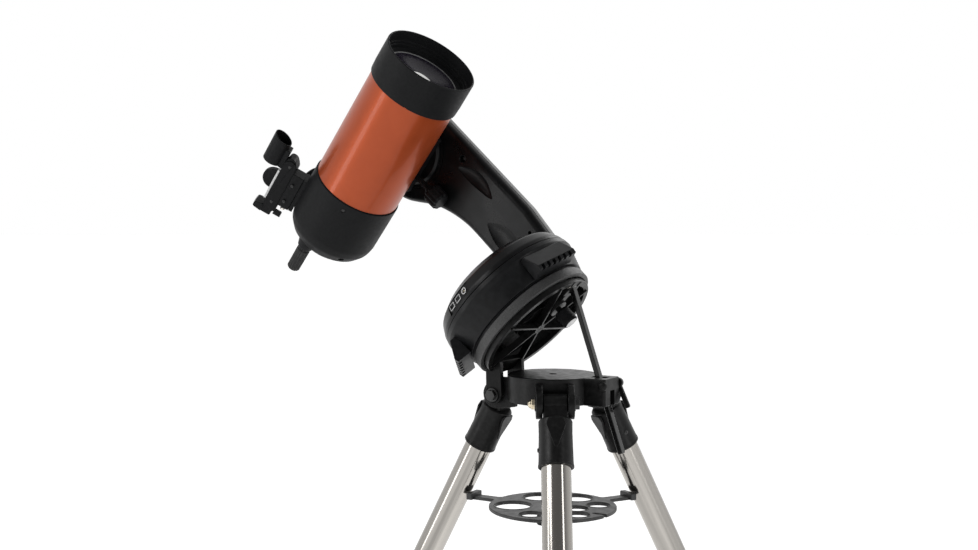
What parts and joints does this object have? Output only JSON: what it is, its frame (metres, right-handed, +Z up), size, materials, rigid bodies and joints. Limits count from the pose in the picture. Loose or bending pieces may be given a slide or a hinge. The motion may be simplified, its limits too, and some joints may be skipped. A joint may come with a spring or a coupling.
{
  "type": "maksutov telescope",
  "caption": "Short folded-optics telescope on a motorised single-arm mount, carried by a steel tripod with a built-in tilting wedge.",
  "frame": {"origin": "on the floor, at the centre of the whole telescope's footprint box", "axes": "+Z up; +X from under the optical tube towards the latitude bar; the arm stands on the +Y side"},
  "size_m": [0.7186, 0.7516, 1.1437],
  "materials": {
    "black_metal": "satin powder coat",
    "steel": "polished stainless tube",
    "bright": "bright plated",
    "black_plastic": "fine moulded texture",
    "gloss_black": "semi-gloss moulding",
    "orange_tube": "metallic orange paint",
    "lens_glass": "coated optical glass",
    "mirror_glass": "aluminised",
    "rubber": "black rubber",
    "board": "circuit board",
    "brass_gear": "machined",
    "motor": "gear motor can"
  },
  "bodies": {
    "head": {"tripod_head": "black_metal", "centre_rod": "steel", "pivot_bolts": "bright"},
    "clamp": {"clamp_lever": "black_metal"},
    "tray": {"accessory_tray": "black_metal"},
    "tray_nut": {"tray_knob": "black_plastic"},
    "wedge": {"tilt_plate": "black_metal", "bar_pin": "steel", "base_housing": "black_plastic", "base_floor": "black_plastic", "azimuth_gear": "brass_gear"},
    "bar": {"latitude_bar": "black_metal"},
    "mount_screw": {"mounting_knob": "black_plastic"},
    "fork": {"turntable": "black_plastic", "azimuth_motor": "motor", "port_panel": "black_plastic", "arm_shell": "gloss_black", "arm_cover": "gloss_black", "altitude_motor": "motor", "control_board": "board"},
    "door": {"battery_door": "black_plastic"},
    "switch": {"power_switch": "black_plastic"},
    "cradle": {"altitude_hub": "black_metal", "altitude_gear": "brass_gear", "saddle": "black_metal"},
    "cradle_screw": {"saddle_knob": "black_plastic"},
    "optics": {"optical_tube": "orange_tube", "front_cell": "black_plastic", "corrector_lens": "lens_glass", "baffle_tube": "steel", "rear_cell": "black_plastic", "rear_cap": "black_plastic", "dovetail_bar": "black_metal", "eyepiece_holder": "black_metal", "finder_bracket": "black_plastic", "finder_body": "black_plastic", "finder_hood": "black_plastic"},
    "mirror": {"primary_mirror": "mirror_glass"},
    "focuser": {"focus_knob": "black_plastic"},
    "flip": {"flip_mirror": "mirror_glass", "flip_knob": "black_plastic"},
    "finder_dial": {"finder_wheel": "black_plastic"},
    "leg_1": {"leg_1_casting": "black_plastic", "leg_1_tube": "steel", "leg_1_collar": "black_plastic"},
    "shin_1": {"leg_1_extension": "steel", "leg_1_foot": "rubber"},
    "leg_1_clamp": {"leg_1_knob": "black_plastic"},
    "leg_2": {"leg_2_casting": "black_plastic", "leg_2_tube": "steel", "leg_2_collar": "black_plastic"},
    "shin_2": {"leg_2_extension": "steel", "leg_2_foot": "rubber"},
    "leg_2_clamp": {"leg_2_knob": "black_plastic"},
    "leg_3": {"leg_3_casting": "black_plastic", "leg_3_tube": "steel", "leg_3_collar": "black_plastic"},
    "shin_3": {"leg_3_extension": "steel", "leg_3_foot": "rubber"},
    "leg_3_clamp": {"leg_3_knob": "black_plastic"}
  },
  "joints": [
    {"name": "leg_1_fold", "type": "hinge", "parent": "head", "child": "leg_1", "pos_m": [0.17165, -0.06521, 0.64], "axis": [0.866, 0.5, 0], "range_deg": [0, 6]},
    {"name": "leg_1_extend", "type": "slide", "parent": "leg_1", "child": "shin_1", "axis": [0.2345, -0.4062, -0.8832], "range_m": [0, 0.4]},
    {"name": "leg_1_clamp_turn", "type": "hinge", "parent": "leg_1", "child": "leg_1_clamp", "pos_m": [0.33547, -0.34895, 0.10406], "axis": [0.4416, -0.7649, 0.469], "continuous": true},
    {"name": "leg_2_fold", "type": "hinge", "parent": "head", "child": "leg_2", "pos_m": [0.17165, 0.06521, 0.64], "axis": [-0.866, 0.5, 0], "range_deg": [0, 6]},
    {"name": "leg_2_extend", "type": "slide", "parent": "leg_2", "child": "shin_2", "axis": [0.2345, 0.4062, -0.8832], "range_m": [0, 0.4]},
    {"name": "leg_2_clamp_turn", "type": "hinge", "parent": "leg_2", "child": "leg_2_clamp", "pos_m": [0.33547, 0.34895, 0.10406], "axis": [0.4416, 0.7649, 0.469], "continuous": true},
    {"name": "leg_3_fold", "type": "hinge", "parent": "head", "child": "leg_3", "pos_m": [0.0587, 0, 0.64], "axis": [0, -1, 0], "range_deg": [0, 6]},
    {"name": "leg_3_extend", "type": "slide", "parent": "leg_3", "child": "shin_3", "axis": [-0.469, 0, -0.8832], "range_m": [0, 0.4]},
    {"name": "leg_3_clamp_turn", "type": "hinge", "parent": "leg_3", "child": "leg_3_clamp", "pos_m": [-0.26893, 0, 0.10406], "axis": [-0.8832, 0, 0.469], "continuous": true},
    {"name": "tray_slide", "type": "slide", "parent": "head", "child": "tray", "axis": [0, 0, -1], "range_m": [0, 0.06]},
    {"name": "tray_nut_turn", "type": "hinge", "parent": "tray", "child": "tray_nut", "pos_m": [0.134, 0, 0.48], "axis": [0, 0, 1], "continuous": true},
    {"name": "clamp_turn", "type": "hinge", "parent": "head", "child": "clamp", "pos_m": [0.2185, 0, 0.661], "axis": [0, 1, 0], "range_deg": [-60, 20]},
    {"name": "wedge_tilt", "type": "hinge", "parent": "head", "child": "wedge", "pos_m": [0.0587, 0, 0.64], "axis": [0, -1, 0], "range_deg": [-12, 12]},
    {"name": "bar_swing", "type": "hinge", "parent": "wedge", "child": "bar", "pos_m": [0.1615, 0, 0.7917], "axis": [0, -1, 0], "range_deg": [-4, 6]},
    {"name": "mount_screw_turn", "type": "hinge", "parent": "wedge", "child": "mount_screw", "pos_m": [0.14851, 0, 0.75191], "axis": [-0.7314, 0, 0.682], "continuous": true},
    {"name": "azimuth", "type": "hinge", "parent": "wedge", "child": "fork", "pos_m": [0.1066, 0, 0.7363], "axis": [-0.7314, 0, 0.682], "continuous": true},
    {"name": "altitude", "type": "hinge", "parent": "fork", "child": "cradle", "pos_m": [-0.15832, 0.00146, 0.96981], "axis": [-0.0996, -0.9893, -0.1068], "range_deg": [-80, 95]},
    {"name": "cradle_screw_turn", "type": "hinge", "parent": "cradle", "child": "cradle_screw", "pos_m": [-0.12352, 0.07415, 0.92883], "axis": [-0.7465, 0.0033, 0.6654], "continuous": true},
    {"name": "tube_release", "type": "slide", "parent": "cradle", "child": "optics", "axis": [0.6579, -0.146, 0.7388], "range_m": [0, 0.05]},
    {"name": "door_lift", "type": "slide", "parent": "fork", "child": "door", "axis": [-0.7314, 0, 0.682], "range_m": [0, 0.04]},
    {"name": "switch_rock", "type": "hinge", "parent": "fork", "child": "switch", "pos_m": [0.07856, 0.05476, 0.8357], "axis": [0.0996, 0.9893, 0.1068], "range_deg": [-6, 6]},
    {"name": "focus_turn", "type": "hinge", "parent": "optics", "child": "focuser", "pos_m": [-0.28092, -0.0138, 0.83234], "axis": [0.6579, -0.146, 0.7388], "range_deg": [-1080, 1080]},
    {"name": "focus_slide", "type": "slide", "parent": "optics", "child": "mirror", "axis": [0.6579, -0.146, 0.7388], "range_m": [-0.005, 0.005]},
    {"name": "flip_turn", "type": "hinge", "parent": "optics", "child": "flip", "pos_m": [-0.232, 0.01782, 0.88706], "axis": [0.0996, 0.9893, 0.1068], "range_deg": [0, 45]},
    {"name": "finder_dial_turn", "type": "hinge", "parent": "optics", "child": "finder_dial", "pos_m": [-0.31943, -0.0411, 0.93297], "axis": [-0.323, 0.8315, 0.452], "continuous": true}
  ],
  "couplings": [
    {"joint": "leg_1_fold", "follows": "tray_slide", "rad_per_m": 1.7453},
    {"joint": "leg_2_fold", "follows": "tray_slide", "rad_per_m": 1.7453},
    {"joint": "leg_3_fold", "follows": "tray_slide", "rad_per_m": 1.7453},
    {"joint": "bar_swing", "follows": "wedge_tilt", "ratio": -0.22},
    {"joint": "focus_turn", "follows": "focus_slide", "rad_per_m": 3769.9}
  ]
}
